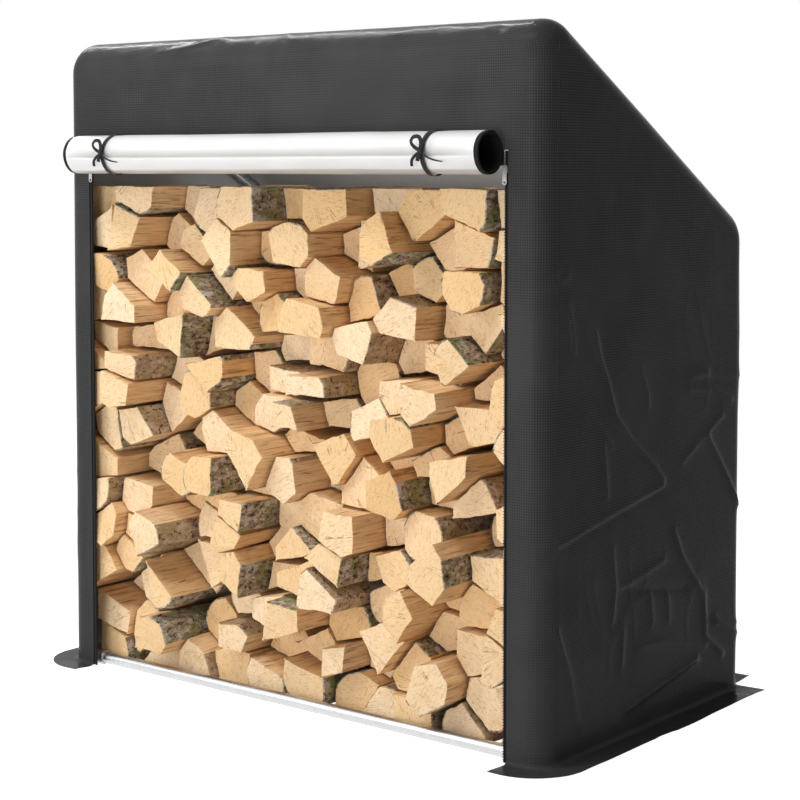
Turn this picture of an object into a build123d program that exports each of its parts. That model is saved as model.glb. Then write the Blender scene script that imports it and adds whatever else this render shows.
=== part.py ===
from build123d import *
import math
import os
import random

# Cover, measured to its outer faces
WIDTH = 1520.0
DEPTH = 900.0
FRONT_HEIGHT = 1685.0  # where the front and the roof would meet without their rounding
REAR_HEIGHT = 1174.0  # where the roof and the back would meet without their rounding
RIDGE_RADIUS = 78.0
EAVE_RADIUS = 92.0
EDGE_RADIUS = 60.0  # all round both sides
CLOTH = 2.0

# Flaps that lie on the ground round the foot of the cover
FLAP_WIDTH = 68.0
FLAP_END_INSET = 20.0  # from the cover's outer faces to the ends of the flaps at a rear corner

# Doorway and its zips
STRIP_WIDTH = 104.0  # from the side of the cover to the middle of the zip's coil
HEADER_HEIGHT = 340.0  # from the unrounded top of the front to the header's lower edge
ZIP_REVEAL = 8.0  # from the coil to the edge of the cover beside it
ZIP_TAPE_WIDTH = 20.0
ZIP_TAPE = 1.0
ZIP_COIL_RADIUS = 2.2
SLIDER_WIDTH = 13.0
SLIDER_PLATE = 2.5
SLIDER_CORNER = 4.0
SLIDER_HEIGHT = 20.0
SLIDER_DROP = 32.0  # from the top of the doorway to the top of the slider
PULL_LENGTH = 34.0
PULL_WIDTH = 11.0
PULL_CORNER = 3.5
PULL_HOLE_RADIUS = 3.0
PULL_THICKNESS = 1.6

# Door, rolled up under the header and tied
ROLL_RADIUS = 49.5
ROLL_WALL = 11.0
ROLL_END_GAP = 3.0  # from the roll's end to the middle of the zip's coil
ROLL_DROP = 6.0  # of the roll's axis below the edge of the header
TIE_INSET = 148.0  # from the roll's end to the middle of the tie
TIE_WIDTH = 12.0
TIE_THICKNESS = 1.2
KNOT_WIDTH = 16.0
KNOT_DEPTH = 9.0
LOOP_LENGTH = 46.0
LOOP_HEIGHT = 20.0
LOOP_SHARES = (0.25, 0.85)  # of the loop's length, where it is widest
LOOP_TILT = 25.0
TAIL_LENGTH = 45.0
TAIL_WIDTH = 10.0
TAIL_SPLAY = 24.0

# Steel tube frame
TUBE_DIAMETER = 30.0
TUBE_WALL = 1.2
SOCKET_WALL = 1.8  # of a moulded connector, at its thinnest
SOCKET_CHAMFER = 7.0
SOCKET_SIDES = 8
SLIP = 0.2  # between a tube and the socket round it
SEAT_GAP = 0.3  # between pieces that rest against each other
SOCKET_REACH = 75.0
SOCKET_DEPTH = 50.0

# Stack of split logs
STACK_CLEARANCE = 84.0  # from the stack up to the header's edge
STACK_ROWS = 15
LOGS_PER_ROW = 12
LOG_LENGTH = 330.0
LOG_PROUD = 26.0  # the furthest that an end stands out of the doorway
LOG_SHY = 160.0  # the furthest that an end stands back from it
STAGGER_SHARE = 0.618  # of the way between the two, from each log to the next in its row
STAGGER_SPREAD_SHARE = 0.12
EDGE_SHY = 55.0  # the furthest that the end of a log at the edge of the stack stands back
LOG_GAP = 0.6
LOG_SEED = 43
BARK_RADIUS = 78.0
BARK_BITE = 2.0  # the least that the round bark side takes off a corner
SHORTEST_SIDE = 30.0
JITTER_SHARE = 0.36
BARK_SHARE = 0.66
BARK_RADIUS_SHARES = (0.8, 1.4)

OVERRUN = 20.0  # of every cutting shape past what it cuts

# Worked out from the sizes above
slope = (FRONT_HEIGHT - REAR_HEIGHT) / DEPTH
pitch = math.atan(slope)
roof_along = (math.cos(pitch), -math.sin(pitch))  # down the roof to the back, as Y and Z
roof_up = (math.sin(pitch), math.cos(pitch))
ridge_turn = math.pi / 2 + pitch
eave_turn = math.pi / 2 - pitch
roll_standoff = TIE_THICKNESS + 2 * SEAT_GAP
front_reach = roll_standoff + 2 * ROLL_RADIUS + SEAT_GAP + KNOT_DEPTH
front_y = (front_reach - DEPTH - FLAP_WIDTH) / 2
rear_y = front_y + DEPTH
ridge_centre = (front_y + RIDGE_RADIUS, FRONT_HEIGHT - RIDGE_RADIUS * math.tan(ridge_turn / 2))
eave_centre = (rear_y - EAVE_RADIUS, REAR_HEIGHT - EAVE_RADIUS * math.tan(eave_turn / 2))
seam_x = WIDTH / 2 - EDGE_RADIUS
door_height = FRONT_HEIGHT - HEADER_HEIGHT
zip_x = WIDTH / 2 - STRIP_WIDTH
zip_y = front_y + CLOTH + ZIP_TAPE / 2
strip_x = zip_x + ZIP_REVEAL
tube_radius = TUBE_DIAMETER / 2
socket_radius = tube_radius + SLIP
socket_half = socket_radius + SOCKET_WALL
corner_room = EDGE_RADIUS - CLOTH - SEAT_GAP  # from the middle of a rounded corner to a connector in it
corner_reach = math.sqrt((corner_room**2 - SOCKET_CHAMFER**2 / 2) / 2) + SOCKET_CHAMFER / 2
frame_inset = EDGE_RADIUS - corner_reach + socket_half
post_x = WIDTH / 2 - frame_inset
front_post_y = front_y + frame_inset
rear_post_y = rear_y - frame_inset
rail_z = socket_half
stack_half = post_x - socket_half - SEAT_GAP
stack_height = door_height - STACK_CLEARANCE
roll_y = front_y - roll_standoff - ROLL_RADIUS
roll_z = door_height - ROLL_DROP
roll_half = zip_x - ROLL_END_GAP
tie_x = roll_half - TIE_INSET


def block(low, high):
    """Box between two opposite corners"""
    size = [b - a for a, b in zip(low, high)]
    middle = [(a + b) / 2 for a, b in zip(low, high)]
    return Pos(*middle) * Box(*size)


def plate(low, high):
    """Flat rectangle between two opposite corners"""
    size = [b - a for a, b in zip(low, high)]
    middle = [(a + b) / 2 for a, b in zip(low, high)]
    return Pos(*middle) * Rectangle(*size)


def bar(start, direction, radius, length):
    """Round bar from a point along a direction"""
    return extrude(Plane(start, z_dir=direction) * Circle(radius), length)


def mirrored(shape):
    return mirror(shape, Plane.YZ)


def side_outline(inset):
    """Outline of the store seen from the side, moved in from the outer faces"""
    drop = inset * math.hypot(1, slope)
    foot = CLOTH - OVERRUN if inset else CLOTH
    outline = Polygon(
        (front_y + inset, foot),
        (front_y + inset, FRONT_HEIGHT - slope * inset - drop),
        (rear_y - inset, REAR_HEIGHT + slope * inset - drop),
        (rear_y - inset, foot),
        align=None,
    )
    ridge = outline.vertices().sort_by(Axis.Y)[-1]
    outline = fillet(ridge, RIDGE_RADIUS - inset)
    eave = outline.vertices().sort_by(Axis.X)[-2:].sort_by(Axis.Y)[-1]
    return fillet(eave, EAVE_RADIUS - inset)


def rounded_body(inset):
    """The whole store as one block, rounded all round both sides"""
    body = extrude(Plane.YZ * side_outline(inset), WIDTH / 2 - inset, both=True)
    ends = body.faces().sort_by(Axis.X)
    edges = ends[0].edges() + ends[-1].edges()
    foot = body.bounding_box().min.Z
    kept = [edge for edge in edges if edge.bounding_box().max.Z > foot + OVERRUN]
    return fillet(kept, EDGE_RADIUS - inset)


def cover_panels():
    """The sewn panels of the cover, cut apart along their seams"""
    shell = rounded_body(0) - rounded_body(CLOTH)
    right = shell & block((seam_x, front_y - OVERRUN, 0), (WIDTH, rear_y + OVERRUN, FRONT_HEIGHT))
    band = side_outline(0) - side_outline(CLOTH)
    reach = RIDGE_RADIUS + EAVE_RADIUS
    over_ridge = tuple(c + reach * n for c, n in zip(ridge_centre, roof_up))
    over_eave = tuple(c + reach * n for c, n in zip(eave_centre, roof_up))
    ridge_y = ridge_centre[0]
    eave_y = eave_centre[0]
    header_zone = Polygon(
        ridge_centre,
        over_ridge,
        (front_y - OVERRUN, over_ridge[1]),
        (front_y - OVERRUN, door_height),
        (ridge_y, door_height),
        align=None,
    )
    roof_zone = Polygon(ridge_centre, over_ridge, over_eave, eave_centre, align=None)
    back_zone = Polygon(
        eave_centre,
        over_eave,
        (rear_y + OVERRUN, over_eave[1]),
        (rear_y + OVERRUN, 0),
        (eave_y, 0),
        align=None,
    )
    strip = block((strip_x, front_y, CLOTH), (seam_x, front_y + CLOTH, door_height))

    def across(zone):
        return extrude(Plane.YZ * (band & zone), seam_x, both=True)

    return {
        "roof_panel": across(roof_zone),
        "front_header": across(header_zone),
        "back_panel": across(back_zone),
        "left_side_panel": mirrored(right),
        "right_side_panel": right,
        "left_front_strip": mirrored(strip),
        "right_front_strip": strip,
    }


def ground_flaps():
    """Side flaps that run on round the front corners, and a back flap: all are slit apart at the rear corners"""
    wall = WIDTH / 2 - CLOTH
    side_reach = WIDTH / 2 + FLAP_WIDTH
    front_tangent = front_y + EDGE_RADIUS
    rear_tangent = rear_y - EDGE_RADIUS
    along_side = plate((wall, front_tangent), (side_reach, rear_tangent))
    inside = Circle(EDGE_RADIUS - CLOTH)
    corner = Pos(seam_x, front_tangent) * (Circle(EDGE_RADIUS + FLAP_WIDTH) - inside)
    corner &= plate((seam_x, front_y - FLAP_WIDTH), (side_reach, front_tangent))
    along_front = plate((strip_x, front_y - FLAP_WIDTH), (seam_x, front_y + CLOTH))
    end = plate((seam_x, rear_tangent), (side_reach, rear_y - FLAP_END_INSET))
    end -= Pos(seam_x, rear_tangent) * inside
    right = extrude(along_side + corner + along_front + end, CLOTH)
    back_half = WIDTH / 2 - FLAP_END_INSET
    behind = plate((-back_half, rear_tangent), (back_half, rear_y + FLAP_WIDTH))
    behind -= plate((-seam_x, rear_tangent - OVERRUN), (seam_x, rear_y - CLOTH))
    behind -= Pos(seam_x, rear_tangent) * inside
    behind -= Pos(-seam_x, rear_tangent) * inside
    return {
        "left_ground_flap": mirrored(right),
        "right_ground_flap": right,
        "back_ground_flap": extrude(behind, CLOTH),
    }


def arm_section():
    """Section of a connector's arm: a square with its corners cut"""
    square = Rectangle(2 * socket_half, 2 * socket_half)
    return chamfer(square.vertices(), SOCKET_CHAMFER)


def arm(start, way, side):
    """Arm of a connector with flat sides across side, from a point to the mouth of its socket"""
    return extrude(Plane(start, x_dir=side, z_dir=way) * arm_section(), SOCKET_REACH)


def moved(point, way, length):
    return tuple(p + length * w for p, w in zip(point, way))


def socketed(body, arms):
    """Bores a flat-sided tube socket into each arm of a connector"""
    bore = RegularPolygon(socket_radius, SOCKET_SIDES, major_radius=False, rotation=180 / SOCKET_SIDES)
    for start, way, side in arms:
        floor = moved(start, way, SOCKET_REACH - SOCKET_DEPTH)
        body -= extrude(Plane(floor, x_dir=side, z_dir=way) * bore, SOCKET_DEPTH + OVERRUN)
    return body


def foot_connector(side, y, inward):
    """Three arms that meet in a corner block on the ground: up, across and along the side"""
    centre = (side * post_x, y, rail_z)
    ways = {(0, 0, 1): (1, 0, 0), (-side, 0, 0): (0, 1, 0), (0, inward, 0): (1, 0, 0)}
    arms = [(centre, way, flat) for way, flat in ways.items()]
    body = Pos(*centre) * chamfer(Box(*[2 * socket_half] * 3).edges(), SOCKET_CHAMFER)
    for placed in arms:
        body += arm(*placed)
    return socketed(body, arms)


def frame_bend(centre, radius, turn, facing, rafter_way):
    """Bend in a side frame: the post's end, the rafter's end, and an elbow's two corners just before them"""
    post_end = (centre[0] + facing * radius, centre[1])
    rafter_end = (post_end[0] - facing * radius * (1 - math.cos(turn)), centre[1] + radius * math.sin(turn))
    setback = socket_half * math.tan(turn / 4)
    return post_end, rafter_end, moved(post_end, (0, -1), setback), moved(rafter_end, rafter_way, setback)


up_roof = tuple(-r for r in roof_along)
ridge_bend = frame_bend(ridge_centre, RIDGE_RADIUS - frame_inset, ridge_turn, -1, roof_along)
eave_bend = frame_bend(eave_centre, EAVE_RADIUS - frame_inset, eave_turn, 1, up_roof)


def beam_place(bend):
    """Where the beam across joins an elbow, halfway between its corners"""
    _, _, first, second = bend
    return tuple((a + b) / 2 for a, b in zip(first, second))


def top_elbow(side, bend, rafter_way):
    """Connector mitred twice, from a post over into a rafter, with an arm for the beam across"""
    post_end, rafter_end, first, second = [(side * post_x, y, z) for y, z in bend]
    down = (0, 0, -1)
    along = (0, *rafter_way)
    foot = moved(post_end, down, SOCKET_REACH)
    head = moved(rafter_end, along, SOCKET_REACH)
    route = Polyline(foot, first, second, head)
    section = Plane(foot, x_dir=(1, 0, 0), z_dir=(0, 0, 1)) * arm_section()
    body = sweep(section, route, transition=Transition.RIGHT)
    level = Vector(*second) - Vector(*first)
    across = ((side * post_x, *beam_place(bend)), (-side, 0, 0), level)
    body += arm(*across)
    return socketed(body, [(post_end, down, (1, 0, 0)), (rafter_end, along, (1, 0, 0)), across])


def connectors():
    """Moulded connectors: four feet, and elbows at the ridge and eave inside the cover's rounding"""
    feet = [foot_connector(s, front_post_y, 1) for s in (-1, 1)]
    feet += [foot_connector(s, rear_post_y, -1) for s in (-1, 1)]
    return {
        "foot_connectors": Compound(feet),
        "ridge_elbows": Compound([top_elbow(s, ridge_bend, roof_along) for s in (-1, 1)]),
        "eave_elbows": Compound([top_elbow(s, eave_bend, up_roof) for s in (-1, 1)]),
    }


def tube(start, end):
    """Frame tube between the bottoms of its two sockets"""
    run = Vector(*end) - Vector(*start)
    seat = run.normalized() * (SOCKET_REACH - SOCKET_DEPTH + SLIP)
    plane = Plane(Vector(*start) + seat, z_dir=run)
    section = Circle(tube_radius) - Circle(tube_radius - TUBE_WALL)
    return extrude(plane * section, run.length - 2 * seat.length)


def frame_tubes():
    """Posts, ground rails, beams and rafters"""
    tubes = {}
    for name, side in (("left", -1), ("right", 1)):
        x = side * post_x
        front_foot = (x, front_post_y, rail_z)
        rear_foot = (x, rear_post_y, rail_z)
        tubes[f"front_{name}_post"] = tube(front_foot, (x, *ridge_bend[0]))
        tubes[f"rear_{name}_post"] = tube(rear_foot, (x, *eave_bend[0]))
        tubes[f"{name}_ground_rail"] = tube(front_foot, rear_foot)
        tubes[f"{name}_rafter"] = tube((x, *ridge_bend[1]), (x, *eave_bend[1]))
    for name, y, bend in (("front", front_post_y, ridge_bend), ("rear", rear_post_y, eave_bend)):
        tubes[f"{name}_ground_rail"] = tube((-post_x, y, rail_z), (post_x, y, rail_z))
        tubes[f"{name}_top_beam"] = tube((-post_x, *beam_place(bend)), (post_x, *beam_place(bend)))
    return tubes


def rolled_door():
    """Door rolled into a hollow roll, hung by its hem from the edge of the header"""
    section = Pos(roll_y, roll_z) * (Circle(ROLL_RADIUS) - Circle(ROLL_RADIUS - ROLL_WALL))
    roll = extrude(Plane.YZ * section, roll_half, both=True)
    tie_room = TIE_WIDTH / 2 + SEAT_GAP
    hem_front = roll_y + ROLL_RADIUS - ROLL_WALL / 2
    stops = (-roll_half, -tie_x - tie_room, -tie_x + tie_room)
    stops += tuple(-x for x in reversed(stops))
    for left, right in zip(stops[0::2], stops[1::2]):
        low = (left, hem_front, door_height - CLOTH)
        roll += block(low, (right, front_y + CLOTH, door_height))
    return roll


def door_tie(x):
    """Tape round the roll, knotted in front into one loop and two tails"""
    inner = ROLL_RADIUS + SEAT_GAP
    section = Pos(roll_y, roll_z) * (Circle(inner + TIE_THICKNESS) - Circle(inner))
    ring = Pos(x, 0, 0) * extrude(Plane.YZ * section, TIE_WIDTH / 2, both=True)
    back = roll_y - inner
    facing = Plane((x, back, roll_z), x_dir=(1, 0, 0), z_dir=(0, -1, 0))
    knot = extrude(facing * Rectangle(KNOT_WIDTH, KNOT_WIDTH), KNOT_DEPTH)
    near, far = [-share * LOOP_LENGTH for share in LOOP_SHARES]
    half = LOOP_HEIGHT / 2
    loop = Polygon((0, 0), (near, half), (far, half), (-LOOP_LENGTH, 0), (far, -half), (near, -half), align=None)
    loop -= offset(loop, -TIE_THICKNESS)
    bow = knot + extrude(facing * Rot(0, 0, -LOOP_TILT) * loop, KNOT_DEPTH)
    for splay in (-TAIL_SPLAY, 2 * TAIL_SPLAY):
        tail = plate((-TAIL_WIDTH / 2, -TAIL_LENGTH), (TAIL_WIDTH / 2, 0))
        front = facing.offset(KNOT_DEPTH - TIE_THICKNESS)
        bow += extrude(front * Rot(0, 0, splay) * tail, TIE_THICKNESS)
    return ring + bow


def zip_tape():
    """Right-hand zip: a tape behind the edge of the cover, with its coil in the doorway"""
    height = door_height - 2 * CLOTH
    coil = bar((zip_x, zip_y, CLOTH), (0, 0, 1), ZIP_COIL_RADIUS, height)
    low = (zip_x, front_y + CLOTH, CLOTH)
    return coil + block(low, (zip_x + ZIP_TAPE_WIDTH, front_y + CLOTH + ZIP_TAPE, CLOTH + height))


def zip_slider():
    """Right-hand slider, parked at the top of its zip in front of the coil, with its pull hanging"""
    back = zip_y - ZIP_COIL_RADIUS - SEAT_GAP
    middle_z = door_height - SLIDER_DROP - SLIDER_HEIGHT / 2
    facing = Plane((zip_x, back, middle_z), x_dir=(1, 0, 0), z_dir=(0, -1, 0))
    face = chamfer(Rectangle(SLIDER_WIDTH, SLIDER_HEIGHT).vertices(), SLIDER_CORNER)
    pull = plate((-PULL_WIDTH / 2, -PULL_LENGTH), (PULL_WIDTH / 2, PULL_WIDTH / 2))
    pull = chamfer(pull.vertices(), PULL_CORNER)
    pull -= Pos(0, PULL_WIDTH / 2 - PULL_LENGTH) * Circle(PULL_HOLE_RADIUS)
    return extrude(facing * face, SLIDER_PLATE) + extrude(facing.offset(SLIDER_PLATE) * pull, PULL_THICKNESS)


def clipped(points, origin, normal):
    """The part of a convex outline behind the line through origin, across normal"""
    kept = []
    for a, b in zip(points, points[1:] + points[:1]):
        side_a = (a[0] - origin[0]) * normal[0] + (a[1] - origin[1]) * normal[1]
        side_b = (b[0] - origin[0]) * normal[0] + (b[1] - origin[1]) * normal[1]
        if side_a <= 0:
            kept.append(a)
        if side_a * side_b < 0:
            share = side_a / (side_a - side_b)
            kept.append((a[0] + share * (b[0] - a[0]), a[1] + share * (b[1] - a[1])))
    return kept


def without_short_sides(points):
    """A convex outline with its small corners cut off"""
    kept = []
    for point in points:
        if not kept or math.dist(point, kept[-1]) > SHORTEST_SIDE:
            kept.append(point)
    while math.dist(kept[0], kept[-1]) < SHORTEST_SIDE:
        kept.pop()
    return kept


def log_cells(dice):
    """Outlines of the log ends row by row: every log fills the room that its neighbours leave it"""
    row_height = stack_height / STACK_ROWS
    seeds = []
    for row in range(STACK_ROWS):
        count = LOGS_PER_ROW + dice.choice((-1, 0, 0, 1))
        step = 2 * stack_half / count
        for column in range(count):
            x = (column + 1 / 2 + dice.uniform(-JITTER_SHARE, JITTER_SHARE)) * step - stack_half
            z = (row + 1 / 2 + dice.uniform(-JITTER_SHARE, JITTER_SHARE)) * row_height
            seeds.append((row, x, z))
    near = 3 * stack_half / LOGS_PER_ROW + 3 * row_height
    for row, x, z in seeds:
        cell = [(-stack_half, 0), (stack_half, 0), (stack_half, stack_height), (-stack_half, stack_height)]
        for _, other_x, other_z in seeds:
            away = math.dist((x, z), (other_x, other_z))
            if 0 < away < near:
                normal = ((other_x - x) / away, (other_z - z) / away)
                half = away / 2 - LOG_GAP / 2
                cell = clipped(cell, (x + half * normal[0], z + half * normal[1]), normal)
        yield row, (x, z), without_short_sides(cell)


def log_section(cell, seed, dice):
    """End of one log: split faces all round, or bark over one side"""
    outline = Polygon(*cell, align=None)
    has_bark = dice.random() < BARK_SHARE
    angle = dice.uniform(0, 2 * math.pi)
    radius = BARK_RADIUS * dice.uniform(*BARK_RADIUS_SHARES)
    if has_bark:
        way = (math.cos(angle), math.sin(angle))
        furthest = max(x * way[0] + z * way[1] for x, z in cell)
        reach = furthest - BARK_BITE - seed[0] * way[0] - seed[1] * way[1]
        centre = [s + (reach - radius) * w for s, w in zip(seed, way)]
        outline = outline & Pos(*centre) * Circle(radius)
    return outline


def log_front(cell, order, dice):
    """How far back from the doorway a log's end stands, well apart from the log beside it"""
    spread_share = STAGGER_SPREAD_SHARE * (dice.random() + dice.random())
    stagger_share = (order * STAGGER_SHARE + spread_share) % 1
    shy = stagger_share * (LOG_PROUD + LOG_SHY) - LOG_PROUD
    edge_shy = dice.uniform(0, EDGE_SHY)
    outermost = max(abs(x) for x, _ in cell)
    if outermost > stack_half - SEAT_GAP:
        shy = min(shy, edge_shy)
    if outermost > zip_x - SLIDER_WIDTH / 2 - SEAT_GAP:
        shy = max(shy, zip_y - front_y + ZIP_COIL_RADIUS + SEAT_GAP)
    if min(z for _, z in cell) < rail_z + socket_half:
        shy = frame_inset + socket_half + SEAT_GAP + max(shy, 0) / 4
    return front_y + shy


def firewood():
    """Stacked logs, one node for each row"""
    dice = random.Random(LOG_SEED)
    rows = {}
    for order, (row, seed, cell) in enumerate(log_cells(dice)):
        section = log_section(cell, seed, dice)
        facing = Plane((0, log_front(cell, order, dice), 0), x_dir=(1, 0, 0), z_dir=(0, -1, 0))
        rows.setdefault(row, []).append(extrude(facing * section, -LOG_LENGTH))
    return {f"firewood_row_{row + 1:02d}": Compound(logs) for row, logs in rows.items()}


def store():
    zip_right = zip_tape()
    slider_right = zip_slider()
    nodes = {}
    nodes.update(frame_tubes())
    nodes.update(connectors())
    nodes.update(cover_panels())
    nodes.update(ground_flaps())
    nodes["rolled_door"] = rolled_door()
    nodes["door_ties"] = Compound([door_tie(-tie_x), door_tie(tie_x)])
    nodes["left_zip_tape"] = mirrored(zip_right)
    nodes["right_zip_tape"] = zip_right
    nodes["zip_sliders"] = Compound([mirrored(slider_right), slider_right])
    nodes.update(firewood())
    return nodes


os.makedirs("parts", exist_ok=True)
for node, shape in store().items():
    export_step(shape, f"parts/{node}.step")
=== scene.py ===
"""A tarpaulin log store filled with split firewood, dressed around its solids."""
import bmesh
import bpy
import itertools
import math
import numpy as np
import random
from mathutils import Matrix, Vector


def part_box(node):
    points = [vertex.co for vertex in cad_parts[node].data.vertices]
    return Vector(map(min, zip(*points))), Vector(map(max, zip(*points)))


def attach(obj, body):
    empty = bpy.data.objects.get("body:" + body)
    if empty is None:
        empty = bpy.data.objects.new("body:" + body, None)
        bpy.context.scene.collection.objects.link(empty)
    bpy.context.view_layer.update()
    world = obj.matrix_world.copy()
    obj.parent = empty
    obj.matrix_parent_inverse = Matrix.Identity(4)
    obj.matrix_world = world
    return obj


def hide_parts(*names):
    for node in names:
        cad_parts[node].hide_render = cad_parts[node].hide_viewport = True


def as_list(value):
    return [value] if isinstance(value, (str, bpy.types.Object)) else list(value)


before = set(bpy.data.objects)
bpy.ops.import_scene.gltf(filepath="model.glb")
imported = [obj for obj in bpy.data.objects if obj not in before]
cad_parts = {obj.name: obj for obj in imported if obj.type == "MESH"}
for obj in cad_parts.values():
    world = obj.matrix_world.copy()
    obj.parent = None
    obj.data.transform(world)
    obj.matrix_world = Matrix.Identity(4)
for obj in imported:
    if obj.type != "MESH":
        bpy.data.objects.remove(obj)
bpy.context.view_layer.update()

# Sizes of the cover that the boxes of its solids don't give, in metres
RIDGE_RADIUS = 0.078
EAVE_RADIUS = 0.092
EDGE_RADIUS = 0.060
FRONT_HEIGHT = 1.685  # where the front and the roof would meet without their rounding
REAR_HEIGHT = 1.174
SHEET = 0.0012  # the sheet's thickness as it is shown
DOOR_SHEET = 0.0009

# The photograph's camera: a level one, fitted to the cover's corners, with lengths in the photograph's pixels
PHOTO_SIZE = 800
PHOTO_FOCAL = 1915.9
PHOTO_HORIZON_ROW = 157.07
PHOTO_YAW = math.radians(38.33)
PHOTO_PLACE = (3.073, -3.856, 1.330)

# The scene's camera: tilted down and shifted less, and fitted to the same corners
CAMERA_FOCAL = 1891.0
CAMERA_PLACE = (3.0238, -3.7611, 1.3075)
CAMERA_YAW = math.radians(38.585)
CAMERA_TILT = math.radians(3.41)
CAMERA_SHIFT = -0.15
SENSOR = 36.0

# Places worked out from the frame
side_low, side_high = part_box("right_side_panel")
half_width = side_high.x
front_y, rear_y = side_low.y, side_high.y
foot_z = side_low.z
door_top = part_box("front_header")[0].z
strip_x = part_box("right_front_strip")[0].x
flap_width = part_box("right_ground_flap")[1].x - half_width
flap_end_inset = half_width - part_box("back_ground_flap")[1].x
seam_x = half_width - EDGE_RADIUS
pitch = math.atan((FRONT_HEIGHT - REAR_HEIGHT) / (rear_y - front_y))
ridge_turn = math.pi / 2 + pitch
up_angle = math.pi / 2 - pitch  # of the roof's outward way, and the turn round the eave
ridge_centre = (front_y + RIDGE_RADIUS, FRONT_HEIGHT - RIDGE_RADIUS * math.tan(ridge_turn / 2))
eave_centre = (rear_y - EAVE_RADIUS, REAR_HEIGHT - EAVE_RADIUS * math.tan(up_angle / 2))
roll_low, roll_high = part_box("rolled_door")
roll_half = roll_high.x
roll_radius = (roll_high.z - roll_low.z) / 2
roll_y = roll_low.y + roll_radius
roll_z = (roll_high.z + roll_low.z) / 2

# The ties' distance from the middle, from the backs of the two bands round the roll
TIE_BACK = 0.004
tie_points = np.array([vertex.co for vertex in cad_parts["door_ties"].data.vertices])
on_back = tie_points[:, 1] > tie_points[:, 1].max() - TIE_BACK
tie_x = float(np.mean(tie_points[on_back & (tie_points[:, 0] > 0), 0]))

SIDES = ((-1, "left"), (1, "right"))


# Points and smooth noise


HASH_STEPS = (73856093, 19349663, 83492791)
HASH_SEED = 2654435761
HASH_MIX = 1274126177
HASH_MASK = 0x7FFFFFFF
HASH_LEVELS = 0xFFFF


def joined(*parts):
    """Points from their coordinates, each an array or a number"""
    return np.stack(np.broadcast_arrays(*parts), axis=-1)


def lengths_along(route):
    """Distance of each point of a route from its start"""
    return np.concatenate([[0], np.cumsum(np.linalg.norm(np.diff(route, axis=0), axis=1))])


def distance_from(points, start, end):
    """Distance of points from the straight line between two others"""
    run = end - start
    share = np.clip((points - start) @ run / (run @ run), 0, 1)
    return np.linalg.norm(points - start - share[..., None] * run, axis=-1)


def arc(centre, radius, angles):
    """Points of an arc and the ways that they face"""
    ways = joined(np.cos(angles), np.sin(angles))
    return np.array(centre) + radius * ways, ways


def value_noise(points, seed=0):
    """Smooth noise from -1 to 1 at every point of an (N, 3) array"""
    points = np.asarray(points, float)
    cell = np.floor(points).astype(np.int64)
    part = points - cell
    ease = part * part * (3 - 2 * part)
    total = np.zeros(len(points))
    for corner in itertools.product((0, 1), repeat=3):
        spot = cell + np.array(corner)
        key = np.bitwise_xor.reduce(spot * np.array(HASH_STEPS), axis=1)
        key = (key ^ (seed * HASH_SEED)) & HASH_MASK
        key = (key ^ (key >> 13)) * HASH_MIX & HASH_MASK
        key = (key ^ (key >> 16)) & HASH_LEVELS
        weight = np.prod(np.where(np.array(corner) == 1, ease, 1 - ease), axis=1)
        total += weight * (key / (HASH_LEVELS / 2) - 1)
    return total


def flat_noise(u, v, scale_u, scale_v, seed):
    """Smooth noise over two coordinates of any shape, in cycles a metre"""
    points = joined(u * scale_u, v * scale_v, 0.0)
    return value_noise(points.reshape(-1, 3), seed).reshape(points.shape[:-1])


def smoothstep(low, high, value):
    t = np.clip((np.asarray(value, float) - low) / (high - low), 0, 1)
    return t * t * (3 - 2 * t)


# Meshes


def grid_quads(rows, columns, first=0):
    base = first + np.arange(rows - 1)[:, None] * columns + np.arange(columns - 1)[None, :]
    return np.stack([base, base + 1, base + columns + 1, base + columns], axis=-1).reshape(-1, 4)


def mesh_object(name, points, faces, materials, uv=None, indices=None):
    """An object from points and faces, with smooth shading and an optional UV per point"""
    mesh = bpy.data.meshes.new(name)
    mesh.from_pydata(np.asarray(points).reshape(-1, 3).tolist(), [], [list(map(int, f)) for f in faces])
    for material in materials:
        mesh.materials.append(material)
    if indices is not None:
        mesh.polygons.foreach_set("material_index", np.asarray(indices, np.int32))
    mesh.polygons.foreach_set("use_smooth", np.ones(len(mesh.polygons), bool))
    if uv is not None:
        layer = mesh.uv_layers.new(name="cloth")
        corners = np.zeros(len(mesh.loops), np.int32)
        mesh.loops.foreach_get("vertex_index", corners)
        layer.data.foreach_set("uv", np.asarray(uv, float).reshape(-1, 2)[corners].ravel())
    mesh.update()
    made = bpy.data.objects.new(name, mesh)
    bpy.context.scene.collection.objects.link(made)
    return made


def grid_object(name, points, materials, uv, flip=False):
    quads = grid_quads(*points.shape[:2])
    return mesh_object(name, points, quads[:, ::-1] if flip else quads, materials, uv)


def thicken(piece, thickness, inner_slot=0, rim_slot=0):
    """Gives a sheet its thickness, inwards from the outer face, with cut edges kept out of its smooth shading"""
    mesh = piece.data
    edges = np.zeros(len(mesh.loops), np.int32)
    mesh.loops.foreach_get("edge_index", edges)
    cut = np.bincount(edges, minlength=len(mesh.edges)) == 1
    mesh.attributes.new("sharp_edge", "BOOLEAN", "EDGE").data.foreach_set("value", cut)
    solid = piece.modifiers.new("thickness", "SOLIDIFY")
    solid.thickness = thickness
    solid.offset = -1
    solid.material_offset = inner_slot
    solid.material_offset_rim = rim_slot


def settle(piece, slot, *nodes):
    """Fixes a piece to the store and hides the solids it stands for; the finish that it is given is not used"""
    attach(piece, "root")
    if nodes:
        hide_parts(*nodes)


def settle_cover(piece, *nodes):
    """A piece of the cover, with its pale inner face"""
    thicken(piece, SHEET, 1)
    settle(piece, "black_cover", *nodes)


# Materials


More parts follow.
